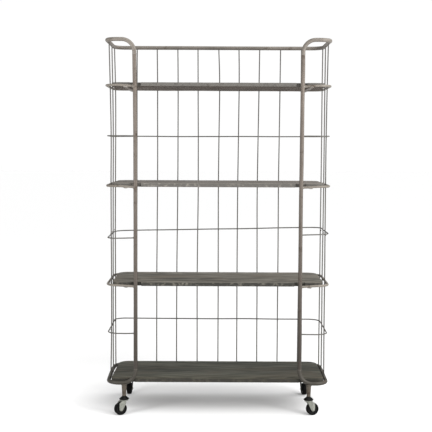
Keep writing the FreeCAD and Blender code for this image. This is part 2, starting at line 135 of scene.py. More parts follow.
floor_mesh = bpy.data.meshes.new("floor")
floor_corners = [(x * floor_reach, y * floor_reach, 0) for x, y in ((-1, -1), (1, -1), (1, 1), (-1, 1))]
floor_mesh.from_pydata(floor_corners, [], [(0, 1, 2, 3)])
floor = placed("floor", floor_mesh)
floor_paint, floor_shader = plain_material("floor_paint", floor_painted_pool_white)
floor_tree = floor_paint.node_tree
floor_place = add_node(floor_tree, "TexCoord").outputs["Object"]
sheet_place = {0: stretched(floor_place, sheet_stretch)}
sheet_distance = add_node(floor_tree, "VectorMath", sheet_place, operation="LENGTH")
sheet_range = {"Value": sheet_distance.outputs["Value"], "From Min": sheet_edge[0], "From Max": sheet_edge[1]}
# Painted pool of light: the floor turns from white near the rack to grey farther away.
painted_pool_share = add_node(floor_tree, "MapRange", sheet_range, interpolation_type="SMOOTHSTEP")
floor_color = mix_colors(painted_pool_share.outputs["Result"], floor_painted_pool_white, floor_grey)
set_inputs(floor_shader, {"Base Color": floor_color, "Roughness": floor_roughness,
                          "Emission Color": white, "Emission Strength": floor_painted_fill_glow})
floor_mesh.materials.append(floor_paint)


# Lights. One wide soft light hangs over the front and leans in from the right, so that the shadow falls to
# the left. A tall soft box stands at each side of the front, so that each post is bright on its outer side
# and dark on its inner side. The surroundings are white and light the rack from all round.
overhead_direction = (-0.85, 0.32, -1.0)
overhead_strength = 4.05
overhead_angle = math.radians(90)
box_place = (1.9, -1.6, 1.3)
box_aim = (0.45, 0, 1.0)
box_size = (0.6, 2.2)
box_watts = 40
surroundings_seen = 1.01
surroundings_light = 0.50


def lamp(name, kind, direction, energy, **settings):
    """A light that shines along a direction."""
    data = bpy.data.lights.new(name, kind)
    data.energy = energy
    for title, value in settings.items():
        setattr(data, title, value)
    made = placed(name, data)
    made.rotation_mode = "QUATERNION"
    made.rotation_quaternion = direction.to_track_quat("-Z", "Y")
    return made


lamp("overhead", "SUN", Vector(overhead_direction), overhead_strength, angle=overhead_angle)
for side, box_name in ((-1, "box_left"), (1, "box_right")):
    place = Vector((side * box_place[0], *box_place[1:]))
    aim = Vector((side * box_aim[0], *box_aim[1:]))
    box = lamp(box_name, "AREA", aim - place, box_watts, shape="RECTANGLE", size=box_size[0],
               size_y=box_size[1])
    box.location = place

world = bpy.data.worlds.new("studio")
bpy.context.scene.world = world
world.use_nodes = True
world_tree = world.node_tree
seen = world_tree.nodes["Background"]
set_inputs(seen, {"Color": white, "Strength": surroundings_seen})
lighting = add_node(world_tree, "Background", {"Color": white, "Strength": surroundings_light})
ray = add_node(world_tree, "LightPath").outputs["Is Camera Ray"]
choice = add_node(world_tree, "MixShader", {0: ray, 1: lighting.outputs[0], 2: seen.outputs[0]})
set_inputs(world_tree.nodes["World Output"], {"Surface": choice.outputs[0]})


# Main tubes. The top hoop, the bottom hoop and the two posts are bent from 20 mm steel tube with a worn
# grey-beige finish; the hoops' ends turn into the posts, where a ground weld joins them.
tube_radius = 0.010
hoop_half_width = 0.556
rack_depth = 0.400
top_height = 1.886
bottom_height = 0.162
post_bend_radius = 0.066
hoop_corner_radius = 0.060
hoop_tail = 0.005
bottom_hoop_bulges = {-1: 0.0055, 1: 0.0030}
bulge_place = 1.4
top_hoop_sag = 0.0022
tube_sides = 24
bend_steps = 15
run_step = 0.05
unevenness_seed = 4
unevenness_scale = 4
hoop_unevenness = 0.0008
post_unevenness = 0.0004
sharp_angle = math.radians(40)
post_leans = {
    -1: ((0.22, 0.0014), (0.60, 0.0008), (1.00, 0.0), (1.40, 0.0), (1.60, 0.0012), (1.76, 0.0030),
         (1.87, 0.0042)),
    1: ((0.22, 0.0030), (0.40, 0.0030), (0.60, 0.0016), (0.90, 0.0010), (1.10, 0.0008), (1.30, 0.0026),
        (1.55, 0.0030), (1.75, 0.0042), (1.87, 0.0034)),
}
post_low, post_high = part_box("post_right")
post_x = (post_low.x + post_high.x) / 2
front_y = (post_low.y + post_high.y) / 2


def ring_way(start_x, half_width, back_y, radius, height):
    """The way of a ring from the left post round the back to the right post."""
    inner = half_width - radius
    front_centre_y, back_centre_y = front_y + radius, back_y - radius
    way = [Vector((-start_x, front_y, height))]
    for x, y, degrees in ((-inner, front_centre_y, 270), (-inner, back_centre_y, 180),
                          (inner, back_centre_y, 90), (inner, front_centre_y, 0)):
        start, end = math.radians(degrees), math.radians(degrees - 90)
        for number in range(bend_steps + 1):
            angle = start + (end - start) * number / bend_steps
            way.append(Vector((x + radius * math.cos(angle), y + radius * math.sin(angle), height)))
    return way + [Vector((start_x, front_y, height))]


def filled(way):
    """The same way with long straight runs cut into short ones."""
    full = [way[0]]
    for start, end in zip(way, way[1:]):
        steps = max(1, round((end - start).length / run_step))
        full += [start.lerp(end, number / steps) for number in range(1, steps + 1)]
    return full


noise.seed_set(unevenness_seed)


def unsettled(way, amount, seed):
    """The way with the small unevenness of a hand-bent bar. Its two ends stay where they are."""
    offset = Vector((seed, seed / 2, 0))
    middle = [point + noise.noise_vector(point * unevenness_scale + offset) * amount for point in way[1:-1]]
    return [way[0]] + middle + [way[-1]]


def circle(count):
    """The cosines and sines of even steps round a full turn."""
    angles = [2 * math.pi * number / count for number in range(count)]
    return [(math.cos(angle), math.sin(angle)) for angle in angles]


def ring_walls(rings, count, closed=False):
    """The side faces between rings of points that follow each other. Closed rings end at the first again."""
    faces = []
    for ring in range(rings if closed else rings - 1):
        low, high = ring * count, (ring + 1) % rings * count
        for side in range(count):
            following = (side + 1) % count
            faces.append((low + side, low + following, high + following, high + side))
    return faces


def bar_mesh(ways, radius, sides):
    """Closed round bars along the ways, as points, faces and each point's place on the straight bar."""
    points, faces, places = [], [], []
    for bent in ways:
        way = [bent[0]] + [point for before, point in zip(bent, bent[1:]) if (point - before).length > 1e-6]
        first = len(points)
        along = 0.0
        heading = (way[1] - way[0]).normalized()
        normal = heading.orthogonal().normalized()
        for number, centre in enumerate(way):
            before = way[max(number - 1, 0)]
            after = way[min(number + 1, len(way) - 1)]
            turn = heading.rotation_difference((after - before).normalized())
            normal = turn @ normal
            heading = turn @ heading
            sideways = heading.cross(normal)
            along += (centre - before).length
            for cosine, sine in circle(sides):
                points.append(centre + (normal * cosine + sideways * sine) * radius)
                places.append((cosine * radius, sine * radius, along))
        walls = ring_walls(len(way), sides)
        ends = [tuple(reversed(range(sides))), tuple(range((len(way) - 1) * sides, len(way) * sides))]
        faces += [tuple(first + corner for corner in face) for face in walls + ends]
    return points, faces, places


def piece(name, form, material, nodes=(), body="rack"):
    """A new piece from points, faces and places. It rides on a body and may stand for some of the nodes."""
    points, faces, places = form
    mesh = bpy.data.meshes.new(name)
    mesh.from_pydata([tuple(point) for point in points], [], faces)
    mesh.shade_smooth()
    mesh.set_sharp_from_angle(angle=sharp_angle)
    mesh.attributes.new("straight", "FLOAT_VECTOR", "POINT")
    mesh.attributes["straight"].data.foreach_set("vector", [value for place in places for value in place])
    mesh.materials.append(material)
    made = placed(name, mesh)
    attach(made, body)
    if nodes:
        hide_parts(*nodes)
    return made


def spread(value, low, high, to_low=0.0, to_high=1.0):
    """Maps a value's range to another range, clamped. Gives its result socket."""
    inputs = {"Value": value, "From Min": low, "From Max": high, "To Min": to_low, "To Max": to_high}
    return add_node(value.id_data, "MapRange", inputs).outputs["Result"]


def speckle(vector, scale, detail, roughness, distortion=0.0):
    """A noise texture. Gives its value socket."""
    inputs = {"Vector": vector, "Scale": scale, "Detail": detail, "Roughness": roughness,
              "Distortion": distortion}
    return add_node(vector.id_data, "TexNoise", inputs).outputs["Fac"]


def calculated(operation, first, second=0.0):
    """A math node on two sockets or values, one of them a socket at least. Gives its value socket."""
    tree = (first if isinstance(first, bpy.types.NodeSocket) else second).id_data
    return add_node(tree, "Math", {0: first, 1: second}, operation=operation).outputs[0]


def times(first, second):
    """The product's socket."""
    return calculated("MULTIPLY", first, second)


def plus(first, second):
    """The sum's socket."""
    return calculated("ADD", first, second)


def minus(first, second):
    """The difference's socket."""
    return calculated("SUBTRACT", first, second)


def coordinates(vector):
    """The sockets of a vector's X, Y and Z."""
    return add_node(vector.id_data, "SeparateXYZ", {0: vector}).outputs


def attribute(group, name):
    """The sockets of one of the mesh's own attributes."""
    return add_node(group, "Attribute", attribute_name=name).outputs


def start_group(name, colors, numbers):
    """A node group with the named inputs. Gives it, its inputs' sockets, and the node that it ends in."""
    group = bpy.data.node_groups.new(name, "ShaderNodeTree")
    for way, kind, titles in (("INPUT", "Color", colors), ("INPUT", "Float", numbers),
                              ("OUTPUT", "Color", ["Color"]), ("OUTPUT", "Float", ["Roughness", "Height"])):
        for title in titles:
            group.interface.new_socket(title, in_out=way, socket_type="NodeSocket" + kind)
    return group, group.nodes.new("NodeGroupInput").outputs, group.nodes.new("NodeGroupOutput")


def build_worn_metal():
    """Worn bare metal: cloudy tone, brown stains, lines along the bar and a painted shade on the rack's foot.
    """
    group, enter, leave = start_group("worn_metal", ("Metal", "Shade", "Stain"),
                                      ("Cloud Scale", "Stain Share", "Foot Shade Share", "Line Share"))
    place = add_node(group, "TexCoord").outputs["Object"]
    cloud = speckle(place, enter["Cloud Scale"], 5.0, 0.5)
    lines = speckle(stretched(attribute(group, "straight")["Vector"], (600, 600, 12)), 1.0, 3.0, 0.6)
    pits = speckle(place, 420.0, 3.0, 0.6)
    stain_edge = minus(0.75, times(enter["Stain Share"], 0.35))
    stain = spread(speckle(place, 14.0, 6.0, 0.65, 0.8), stain_edge, plus(stain_edge, 0.12))
    # Painted shade: the colour darkens towards the foot of the rack, where less light reaches.
    foot = times(spread(coordinates(place)["Z"], 1.6, 0.15), enter["Foot Shade Share"])
    shade_share = calculated("MAXIMUM", times(spread(cloud, 0.33, 0.67), 0.36), foot)
    color = mix_colors(shade_share, enter["Metal"], enter["Shade"])
    color = mix_colors(times(stain, 0.8), color, enter["Stain"])
    color = mix_colors(times(spread(lines, 0.42, 0.62), enter["Line Share"]), color, enter["Shade"])
    height = minus(plus(times(lines, 0.4), times(pits, 0.6)), times(stain, 0.5))
    rough = plus(spread(cloud, 0.3, 0.7, 0.42, 0.60), times(stain, 0.25))
    set_inputs(leave, {"Color": color, "Roughness": rough, "Height": height})
    return group


def grouped_material(name, group, values, specular, bump_strength, bump_depth, metallic=0.0):
    """A material whose colour, roughness and bumps come from a node group with these input values."""
    values = [(*value, 1) if isinstance(value, tuple) else value for value in values]
    material, shader = plain_material(name, values[0])
    wear = add_node(material.node_tree, "Group", dict(enumerate(values)), node_tree=group).outputs
    bump = add_node(material.node_tree, "Bump", {"Strength": bump_strength, "Distance": bump_depth,
                                                 "Height": wear["Height"]})
    set_inputs(shader, {"Base Color": wear["Color"], "Roughness": wear["Roughness"], "Metallic": metallic,
                        "Specular IOR Level": specular, "Normal": bump.outputs["Normal"]})
    return material


worn_metal = build_worn_metal()


def metal_material(name, metal, shade, stain, cloud_scale, stain_share, foot_shade_share, line_share, metallic):
    """A worn metal finish with its own colours and wear."""
    values = (metal, shade, stain, cloud_scale, stain_share, foot_shade_share, line_share)
    return grouped_material(name, worn_metal, values, specular=0.25, bump_strength=0.20, bump_depth=0.0002,
                            metallic=metallic)


# The foot shares paint shade on the lower parts of the rack.
tube_finish = metal_material("tube_finish", (0.200, 0.178, 0.156), (0.030, 0.027, 0.021),
                             (0.060, 0.043, 0.030), 6.0, 0.50, 0.96, 0.12, 0.20)
post_finish = metal_material("post_finish", (0.158, 0.133, 0.113), (0.024, 0.020, 0.016),
                             (0.046, 0.031, 0.021), 6.0, 0.55, 0.96, 0.12, 0.20)


def eased(share):
    """A share kept between 0 and 1 that starts and ends gently."""
    share = min(max(share, 0.0), 1.0)
    return share * share * (3 - 2 * share)


def post_lean(side, height):
    """How far a post stands outwards of its line at a height."""
    leans = post_leans[side]
    for (low, first), (high, second) in zip(leans, leans[1:]):
        if height <= high:
            return first + (second - first) * eased((height - low) / (high - low))
    return leans[-1][1]


def post_bend(side, height, towards):
    """The bend from a hoop to a post's line. towards is 1 where the post is above the hoop."""
    bend = []
    for number in range(bend_steps + 1):
        angle = math.pi / 2 * number / bend_steps
        across = post_bend_radius * (1 - math.cos(angle))
        bend_z = height + towards * post_bend_radius * (1 - math.sin(angle))
        lean = post_lean(side, bend_z) * (1 - number / bend_steps)
        bend.append(Vector((side * (post_x + across + lean), front_y, bend_z)))
    return bend


def hoop_way(height, towards):
    """The whole way of a hoop, from one post tail round the back to the other."""
    tail = Vector((0, 0, towards * hoop_tail))
    left, right = post_bend(-1, height, towards), post_bend(1, height, towards)
    bend_x = post_x + post_bend_radius
    flat = ring_way(bend_x, hoop_half_width, front_y + rack_depth, hoop_corner_radius, height)
    bent = []
    for point in filled(flat)[1:-1]:
        depth = min(max((point.y - front_y) / rack_depth, 0), 1)
        if towards > 0 and abs(point.x) > bend_x:
            side = math.copysign(1, point.x)
            bulge = bottom_hoop_bulges[side] * math.sin(math.pi * depth ** bulge_place)
            point = point + Vector((side * bulge, 0, 0))
        elif towards < 0:
            point = point - Vector((0, 0, top_hoop_sag * depth * depth))
        bent.append(point)
    return [left[0] + tail] + left + bent + right[::-1] + [right[0] + tail]


for title, height, towards, node, seed in (("top_hoop_tube", top_height, -1, "top_hoop", 3.1),
                                           ("bottom_hoop_tube", bottom_height, 1, "bottom_hoop", 7.7)):
    way = unsettled(filled(hoop_way(height, towards)), hoop_unevenness, seed)
    piece(title, bar_mesh([way], tube_radius, tube_sides), tube_finish, [node])

post_foot = bottom_height + post_bend_radius + hoop_tail
post_head = top_height - post_bend_radius - hoop_tail
for side, word, seed in ((-1, "left", 1.3), (1, "right", 5.9)):
    way = filled([Vector((side * post_x, front_y, height)) for height in (post_foot, post_head)])
    way = [point + Vector((side * post_lean(side, point.z), 0, 0)) for point in way]
    way = unsettled(way, post_unevenness, seed)
    piece("post_tube_" + word, bar_mesh([way], tube_radius, tube_sides), post_finish, ["post_" + word])


# Post welds. Each post is butt-welded to the tails of both hoops. The seams are ground down: the upper ones
# stand a little proud, the lower ones hardly show.
seam_prouds = (0.0004, 0.0011)
seam_width = 0.0045
weld_turns = 36
weld_sides = 8
weld_swell = 0.35
weld_ripple_scale = 220
weld_lump_scale = 1.7
# Like the frame's, the weld finish is painted darker towards the bottom: painted shade on the lower welds.
weld_finish = metal_material("weld_finish", (0.250, 0.230, 0.208), (0.052, 0.045, 0.036),
                             (0.050, 0.034, 0.022), 60.0, 0.5, 0.95, 0.0, 0.3)


def as_placed(points, faces):
    """A mesh whose points stand for their own places, because it was never a straight bar."""
    return points, faces, [tuple(point) for point in points]


def joined(parts):
    """Several meshes as one, each given as points, faces and places."""
    points, faces, places = [], [], []
    for part_points, part_faces, part_places in parts:
        first = len(points)
        points += part_points
        faces += [tuple(first + corner for corner in face) for face in part_faces]
        places += part_places
    return points, faces, places


def weld_ring(centre, axis, radius, proud, width, seed):
    """The rippled bead of a weld run round a tube, as high and as wide as given."""
    axis = Vector(axis).normalized()
    spoke = axis.orthogonal().normalized()
    other = axis.cross(spoke)
    points = []
    for turn_cosine, turn_sine in circle(weld_turns):
        outwards = spoke * turn_cosine + other * turn_sine
        here = Vector(centre) + outwards * radius
        swell = 1 + weld_swell * noise.noise(here * weld_ripple_scale + Vector((seed, 0, 0)))
        for cosine, sine in circle(weld_sides):
            points.append(here + (outwards * cosine * proud + axis * sine * width / 2) * swell)
    walls = ring_walls(weld_turns, weld_sides, closed=True)
    faces = [(first, last, third, second) for first, second, third, last in walls]
    return as_placed(points, faces)


def mesh_data(form):
    """The points, faces and places of a bmesh, which is freed."""
    form.verts.index_update()
    points = [vert.co.copy() for vert in form.verts]
    faces = [tuple(vert.index for vert in face.verts) for face in form.faces]
    form.free()
    return as_placed(points, faces)


def weld_spot(centre, size, seed):
    """An uneven lump of weld metal of the given half sizes."""
    lump = bmesh.new()
    bmesh.ops.create_icosphere(lump, subdivisions=2, radius=1.0)
    for vert in lump.verts:
        bulge = 1 + weld_swell * noise.noise(vert.co * weld_lump_scale + Vector((seed, 2 * seed, 0)))
        vert.co = Vector(centre) + Vector([along * half * bulge for along, half in zip(vert.co, size)])
    return mesh_data(lump)


seams = []
for side in (-1, 1):
    for seam_height, proud in zip((post_foot, post_head), seam_prouds):
        seam_centre = (side * (post_x + post_lean(side, seam_height)), front_y, seam_height)
        seed = 5 * seam_height + side
        seams.append(weld_ring(seam_centre, (0, 0, 1), tube_radius, proud, seam_width, seed))
piece("post_seam_welds", joined(seams), weld_finish)


# Shelf rods. A ring of 12 mm rod goes round each of the three upper boards, from post to post past the back.
# Its ends are coped to the posts and welded on, and they droop a little there.
rod_radius = 0.006
rod_half_width = 0.560
rod_back_y = front_y + 0.404
rod_corner_radius = 0.060
rod_droop = 0.0055
rod_sides = 18
rod_unevenness = 0.0012
shelf_pitch = 0.500
rod_heights = [bottom_height + shelf_pitch * level for level in (1, 2, 3)]
joint_bead = 0.0024
rod_finish = metal_material("rod_finish", (0.205, 0.185, 0.160), (0.076, 0.064, 0.051),
                            (0.060, 0.041, 0.029), 7.0, 0.55, 0.45, 0.12, 0.25)


def drooped(way, straight_end_x, amount):
    """A ring's way with both front ends lowered smoothly towards the posts."""
    reach = straight_end_x - post_x
    bent = []
    for point in way:
        share = (straight_end_x - abs(point.x)) / reach if point.y < front_y + tube_radius else 0.0
        bent.append(point - Vector((0, 0, amount * eased(share))))
    return bent


def post_joints(height, radius, drops, seed):
    """The welds at the two ends of a ring, on the outer sides of the posts."""
    beads = []
    for side, drop in zip((-1, 1), drops):
        centre = (side * (post_x + tube_radius), front_y, height - drop)
        beads.append(weld_ring(centre, (1, 0, 0), radius, joint_bead, 2 * joint_bead, seed + side))
    return beads


rod_joints = []
for number, rod_height in enumerate(rod_heights, 2):
    way = ring_way(post_x + tube_radius / 2, rod_half_width, rod_back_y, rod_corner_radius, rod_height)
    way = drooped(filled(way), rod_half_width - rod_corner_radius, rod_droop)
    way = unsettled(way, rod_unevenness, 2.3 * number)
    piece("shelf_rod_%d" % number, bar_mesh([way], rod_radius, rod_sides), rod_finish,
          ["shelf_ring_%d" % number])
    rod_joints += post_joints(rod_height, rod_radius, (rod_droop, rod_droop), number)
piece("shelf_rod_welds", joined(rod_joints), weld_finish)


# Wire rings. Halfway between the shelves a ring of thin steel wire ties the upright wires together. It is
# welded to both posts, and none of the three runs quite level.
wire_radius = 0.003
wire_sides = 12
wire_ring_half_width = 0.557
wire_ring_back_y = front_y + 0.401
wire_ring_corner_radius = 0.057
wire_ring_lifts = (0.004, -0.0015, 0.0)
wire_ring_rises = (-0.0025, 0.023, 0.003)
wire_unevenness = 0.0020
wire_ring_heights = [bottom_height + shelf_pitch * (level + 0.5) + lift
                     for level, lift in enumerate(wire_ring_lifts)]
wire_finish = metal_material("wire_finish", (0.115, 0.110, 0.101), (0.052, 0.047, 0.041),
                             (0.055, 0.040, 0.029), 8.0, 0.4, 0.75, 0.10, 0.45)


def tilted(way, rise):
    """A ring's way with its right side higher than its left side by the rise."""
    return [point + Vector((0, 0, rise * point.x / (2 * hoop_half_width))) for point in way]


ring_joints = []
for number, (ring_height, rise) in enumerate(zip(wire_ring_heights, wire_ring_rises), 1):
    way = ring_way(post_x + tube_radius / 2, wire_ring_half_width, wire_ring_back_y,
                   wire_ring_corner_radius, ring_height)
    way = unsettled(tilted(filled(way), rise), wire_unevenness, 4.1 * number)
    piece("wire_hoop_%d" % number, bar_mesh([way], wire_radius, wire_sides), wire_finish,
          ["wire_ring_%d" % number])
    end_drop = rise * post_x / (2 * hoop_half_width)
    ring_joints += post_joints(ring_height, wire_radius, (end_drop, -end_drop), 10 + number)
piece("wire_hoop_welds", joined(ring_joints), weld_finish)


# Back wires. Nine upright steel wires run from hoop to hoop inside the rods and are spot-welded at every
# crossing. They were set by hand, so each leans a little between the shelves.
back_wire_pitch = 0.1103
back_wire_unevenness = 0.0006
back_wire_y = front_y + 0.39495
back_wire_lean_shares = (
    (0.00, 0.00, 0.02, 0.035, 0.05),
    (-0.02, -0.01, 0.03, 0.035, 0.02),
    (-0.03, -0.02, 0.025, 0.035, 0.02),
    (-0.005, -0.01, 0.03, 0.01, 0.00),
    (0.03, 0.03, 0.02, 0.06, 0.01),
    (-0.03, -0.04, -0.03, 0.01, -0.01),
    (-0.03, -0.05, -0.07, -0.02, 0.00),
    (-0.02, -0.02, -0.03, 0.00, 0.01),
    (-0.01, 0.01, 0.02, 0.03, 0.03),
)
spot_size = Vector((0.0046, 0.0030, 0.0040))
spot_depth = 0.0030
crossing_heights = sorted(rod_heights + wire_ring_heights)
hoop_weld_inset = 0.9 * tube_radius
weld_heights = crossing_heights + [bottom_height + hoop_weld_inset, top_height - hoop_weld_inset]
eased_steps = 8


def eased_way(points):
    """A smooth way through the points: a cubic through each four neighbours."""
    way = [points[0]]
    for number in range(len(points) - 1):
        start, end = points[number], points[number + 1]
        before = points[number - 1] if number else start * 2 - end
        after = points[number + 2] if number + 2 < len(points) else end * 2 - start
        for step in range(1, eased_steps + 1):
            share = step / eased_steps
            way.append((start * 2 + (end - before) * share
                        + (before * 2 - start * 5 + end * 4 - after) * share ** 2
                        + (start * 3 - before - end * 3 + after) * share ** 3) / 2)
    return way


def nearest_point(way, height):
    """Where a wire passes a height."""
    return min(way, key=lambda point: abs(point.z - height))


wires = []
spots = []
wire_joint_heights = [bottom_height] + rod_heights + [top_height]
ring_rises = dict(zip(wire_ring_heights, wire_ring_rises))
for number, leans in enumerate(back_wire_lean_shares):
    middle_x = (number - (len(back_wire_lean_shares) - 1) / 2) * back_wire_pitch
    points = [Vector((middle_x + lean * back_wire_pitch, back_wire_y, height))
              for lean, height in zip(leans, wire_joint_heights)]
    way = unsettled(eased_way(points), back_wire_unevenness, number)
    wires.append(way)
    for height in weld_heights:
        tilt = ring_rises.get(height, 0) * middle_x / (2 * hoop_half_width)
        spot_centre = (nearest_point(way, height).x, back_wire_y + spot_depth, height + tilt)
        spots.append(weld_spot(spot_centre, spot_size, number + height))
piece("back_wire_row", bar_mesh(wires, wire_radius, wire_sides), wire_finish, ["back_wires"])
piece("back_wire_welds", joined(spots), weld_finish)


# Side wires. Each side has three upright steel wires, an equal step apart. Their ends are welded to the
# tubes of the hoops, and between the hoops they bend inwards.
side_wire_places = (0.090, 0.212, 0.334)
side_wire_x = 0.55095
side_wire_unevenness = 0.0005
side_wire_bend_shares = (
    ((0.28, 0.33, 0.30, 0.31, 0.40, 0.23), (0.01, 0.06, 0.11, 0.17, 0.26, 0.18),
     (0.00, 0.00, 0.01, 0.09, 0.21, 0.23)),
    ((0.11, 0.13, 0.18, 0.23, 0.23, 0.13), (0.03, 0.07, 0.03, 0.00, 0.00, 0.02),
     (0.02, 0.00, 0.01, 0.00, 0.00, 0.02)),
)
for side, word, bends in zip((-1, 1), ("left", "right"), side_wire_bend_shares):
    wires = []
    spots = []
    for number, (place, inward_shares) in enumerate(zip(side_wire_places, bends)):
        points = [Vector((side * (side_wire_x - inward * 2 * tube_radius), front_y + place, height))
                  for height, inward in zip([bottom_height] + crossing_heights + [top_height],
                                            (0,) + inward_shares + (0,))]
        way = unsettled(eased_way(points), side_wire_unevenness, 20 + 3 * side + number)
        wires.append(way)
        for height in weld_heights:
            spot = nearest_point(way, height)
            spot_centre = (spot.x + side * spot_depth, spot.y, height)
            spots.append(weld_spot(spot_centre, spot_size.yxz, height + number))
    piece("side_wire_row_" + word, bar_mesh(wires, wire_radius, wire_sides), wire_finish,
          ["side_wires_" + word])
    piece("side_wire_welds_" + word, joined(spots), weld_finish)


# Cross straps. Two flat steel bars lie across under each board and are welded under the ring or between the
# front and back of the bottom hoop.
strap_width = 0.022
strap_thickness = 0.005
strap_x = 0.461
strap_corner = 0.0012
strap_end_bite = 0.0005
strap_end_setback = 0.001
strap_bead_size = (0.52 * strap_width, 0.0035, 0.0042)
rod_strap_drop = 0.005
bottom_strap_top = 0.164
outline_step = math.radians(12)
strap_finish = metal_material("strap_finish", (0.130, 0.108, 0.089), (0.062, 0.048, 0.038),
                              (0.042, 0.024, 0.015), 16.0, 0.7, 0.3, 0.3, 0.35)


def soft_outline(corners):
    """A closed plan outline from (x, y, radius) corners, in the turning direction that they are given."""
    outline = []
    for number, (x, y, radius) in enumerate(corners):
        corner = Vector((x, y))
        if not radius:
            outline.append(corner)
            continue
        before = (Vector(corners[number - 1][:2]) - corner).normalized()
        after = (Vector(corners[(number + 1) % len(corners)][:2]) - corner).normalized()
        half = before.angle(after) / 2
        centre = corner + (before + after).normalized() * (radius / math.sin(half))
        start = corner + before * (radius / math.tan(half)) - centre
        end = corner + after * (radius / math.tan(half)) - centre
        steps = max(2, round((math.pi - 2 * half) / outline_step))
        for step in range(steps + 1):
            spoke = start.to_3d().slerp(end.to_3d(), step / steps).to_2d()
            outline.append(centre + spoke.normalized() * radius)
    return outline


def inset_outline(outline, distance):
    """A closed outline that turns to the left, moved inwards."""
    moved = []
    for number, point in enumerate(outline):
        before = (point - outline[number - 1]).normalized()
        after = (outline[(number + 1) % len(outline)] - point).normalized()
        inwards = Vector((-before.y - after.y, before.x + after.x)).normalized()
        stretch = max(inwards.dot(Vector((-before.y, before.x))), 0.5)
        moved.append(point + inwards * (distance / stretch))
    return moved


def slab_mesh(outline, low, high, edge, edge_steps=3):
    """A flat slab of a closed outline that turns to the left, with rounded rims."""
    rings = []
    for step in range(edge_steps + 1):
        angle = math.pi / 2 * step / edge_steps
        rings.append((edge * (1 - math.sin(angle)), low + edge * (1 - math.cos(angle))))
    rings += [(inset, low + high - height) for inset, height in reversed(rings)]
    points = []
    for inset, height in rings:
        points += [Vector((point.x, point.y, height)) for point in inset_outline(outline, inset)]
    count = len(outline)
    faces = ring_walls(len(rings), count)
    faces.append(tuple(reversed(range(count))))
    faces.append(tuple(range(len(points) - count, len(points))))
    return as_placed(points, faces)


strap_tops = [bottom_strap_top] + [height - rod_strap_drop for height in rod_heights]
for number, strap_top in enumerate(strap_tops, 1):
    parts = []
    beads = []
    strap_bottom = strap_top - strap_thickness
    if number == 1:
        strap_front_y = front_y + tube_radius - strap_end_bite
        strap_back_y = front_y + rack_depth - tube_radius + strap_end_bite
    else:
        strap_front_y = front_y - rod_radius + strap_end_setback
        strap_back_y = rod_back_y + rod_radius - strap_end_setback
    for side in (-1, 1):
        low_x, high_x = side * strap_x - strap_width / 2, side * strap_x + strap_width / 2
        corners = [(low_x, strap_front_y, strap_corner), (high_x, strap_front_y, strap_corner),
                   (high_x, strap_back_y, strap_corner), (low_x, strap_back_y, strap_corner)]
        parts.append(slab_mesh(soft_outline(corners), strap_bottom, strap_top, strap_corner / 2, 2))
        for end_y, seed in ((strap_front_y, 1.7), (strap_back_y, 4.9)):
            bead_centre = (side * strap_x, end_y, strap_top - strap_thickness / 2)
            beads.append(weld_spot(bead_centre, strap_bead_size, seed + number + side))
    piece("cross_straps_%d" % number, joined(parts), strap_finish, ["straps_%d" % number])
    piece("cross_strap_welds_%d" % number, joined(beads), weld_finish)


# Board screws. Four pan-head wood screws of plated steel go up through the straps into each board, near its
# corners. Only their heads show, from below.
screw_radius = 0.00225
screw_head_radius = 0.0045
screw_head_height = 0.0025
screw_inset = 0.070
screw_hidden_length = 0.008
turned_sides = 24
screw_finish = metal_material("screw_finish", (0.30, 0.285, 0.26), (0.14, 0.127, 0.11),
                              (0.09, 0.05, 0.03), 90.0, 0.6, 0.0, 0.1, 0.7)


def turned_mesh(outline, sides=turned_sides, closed=False):
    """A form turned about Z from (radius, height) points. An open outline starts and ends on the axis."""
    inner = outline if closed else outline[1:-1]
    points = [Vector((radius * cosine, radius * sine, height))
              for radius, height in inner for cosine, sine in circle(sides)]
    faces = [tuple(reversed(face)) for face in ring_walls(len(inner), sides, closed)]
    if not closed:
        last, low_tip = (len(inner) - 1) * sides, len(points)
        points += [Vector((0, 0, outline[0][1])), Vector((0, 0, outline[-1][1]))]
        for side in range(sides):
            following = (side + 1) % sides
            faces += [(low_tip, side, following), (low_tip + 1, last + following, last + side)]
    return as_placed(points, faces)


def moved(form, matrix):
    """A mesh moved by a matrix. Each point's place on the piece stays."""
    points, faces, places = form
    return [matrix @ point for point in points], faces, places


head_shares = ((1, 0), (1, -0.3), (0.85, -0.75), (0.55, -1), (0.34, -1), (0.16, -0.45), (0, -0.4))
screw_outline = [(0, screw_hidden_length), (screw_radius, screw_hidden_length), (screw_radius, 0.0)]
screw_outline += [(across * screw_head_radius, up * screw_head_height) for across, up in head_shares]
screws = []
for strap_top in strap_tops:
    for side in (-1, 1):
        for screw_y in (front_y + screw_inset, front_y + rack_depth - screw_inset):
            foot = Vector((side * strap_x, screw_y, strap_top - strap_thickness))
            screws.append(moved(turned_mesh(screw_outline), Matrix.Translation(foot)))
piece("board_screw_heads", joined(screws), screw_finish, ["board_screws"])


